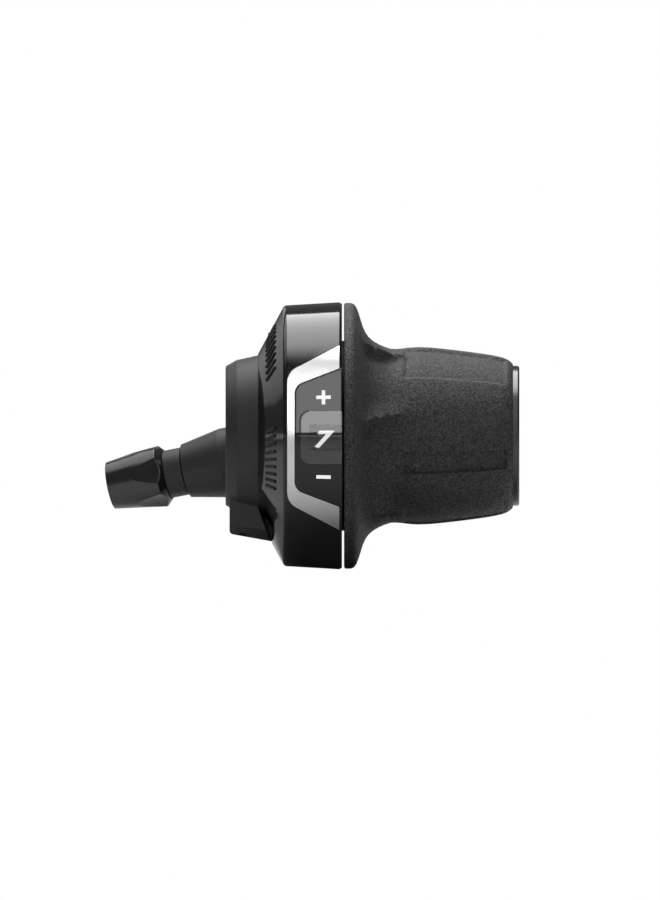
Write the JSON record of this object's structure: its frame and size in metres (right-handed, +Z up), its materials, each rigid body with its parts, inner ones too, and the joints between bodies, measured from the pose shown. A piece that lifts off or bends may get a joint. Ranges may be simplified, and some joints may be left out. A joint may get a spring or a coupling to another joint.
{
  "type": "twist-grip gear shifter",
  "caption": "Right-hand twist-grip gear shifter for a bicycle bar: turning rubber grip, clamp collar, glossy cover with gear window, and a barrel adjuster for the cable.",
  "frame": {"origin": "on the handlebar's axis, at the inboard face of the clamp collar", "axes": "+X along the bar, towards its end; +Z up; the gear window faces -Y, towards the rider"},
  "size_m": [0.0829, 0.055, 0.0534],
  "materials": {
    "housing_plastic": "fine matte grain",
    "cover_plastic": "high gloss black",
    "trim_metal": "satin silver",
    "lens_plastic": "smoked, polished",
    "mask_print": "matte black",
    "screw_steel": "zinc plated",
    "guide_plastic": "natural acetal",
    "spring_steel": "bright spring steel",
    "washer_plastic": "natural nylon",
    "insert_brass": "turned",
    "ring_metal": "satin anodised",
    "seal_rubber": "smooth",
    "grip_rubber": "fine grained",
    "sleeve_plastic": "moulded",
    "drum_plastic": "moulded acetal",
    "dial_print": "black with white numbers",
    "knob_plastic": "satin black",
    "collar_plastic": "moulded"
  },
  "bodies": {
    "housing": {"clamp_body": "housing_plastic", "housing_cover": "cover_plastic", "window_trim": "trim_metal", "indicator_lens": "lens_plastic", "display_mask": "mask_print", "clamp_bolt": "screw_steel", "clamp_nut": "screw_steel", "cover_screws": "screw_steel", "cable_guide": "guide_plastic", "detent_spring": "spring_steel", "friction_washer": "washer_plastic", "thread_insert": "insert_brass", "end_ring": "ring_metal", "adjuster_seal": "seal_rubber"},
    "grip": {"grip_rubber": "grip_rubber", "grip_sleeve": "sleeve_plastic", "cable_drum": "drum_plastic", "detent_ring": "drum_plastic", "dial_ring": "dial_print", "dial_screws": "screw_steel"},
    "adjuster_sleeve": {"adjuster_collar": "collar_plastic", "adjuster_spring": "spring_steel"},
    "adjuster_screw": {"adjuster_knob": "knob_plastic", "adjuster_bolt": "insert_brass"}
  },
  "joints": [
    {"name": "grip_twist", "type": "hinge", "parent": "housing", "child": "grip", "pos_m": [0, 0, 0], "axis": [1, 0, 0], "range_deg": [0, 72], "deforming": ["detent_spring"]},
    {"name": "adjuster_slide", "type": "slide", "parent": "housing", "child": "adjuster_sleeve", "axis": [-0.9647, 0.1833, -0.1891], "range_m": [0, 0.0024], "deforming": ["adjuster_spring"]},
    {"name": "adjuster_turn", "type": "hinge", "parent": "adjuster_sleeve", "child": "adjuster_screw", "pos_m": [-0.01158, 0.0211, -0.00772], "axis": [-0.9647, 0.1833, -0.1891], "range_deg": [0, 1080]}
  ],
  "couplings": [
    {"joint": "adjuster_turn", "follows": "adjuster_slide", "rad_per_m": 7854}
  ]
}
